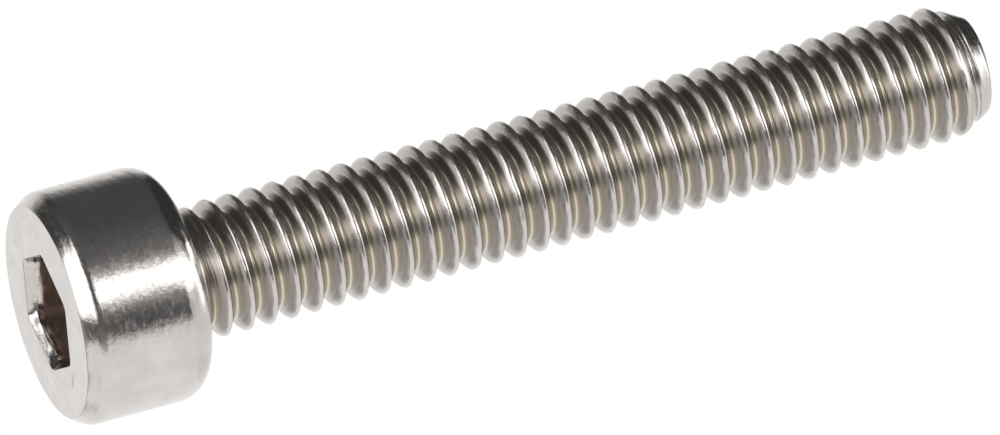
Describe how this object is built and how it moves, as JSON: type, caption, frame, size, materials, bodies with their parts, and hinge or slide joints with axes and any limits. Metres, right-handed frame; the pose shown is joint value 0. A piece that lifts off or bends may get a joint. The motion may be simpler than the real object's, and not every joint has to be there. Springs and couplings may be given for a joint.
{
  "type": "derailleur adjustment screw",
  "caption": "Hexagon socket head cap screw with a plain barrel head and a fully threaded shank, for setting a derailleur's travel.",
  "frame": {"origin": "centre of the head's flat end face, which the screw stands on", "axes": "+Z along the screw's axis, from the head to the tip; two corners of the hexagon socket lie on the Y axis"},
  "size_m": [0.0068, 0.0068, 0.0288],
  "materials": {
    "steel": "satin, plain stainless with fine forming and rolling marks"
  },
  "bodies": {
    "root": {"adjustment_screw": "steel"}
  },
  "joints": []
}
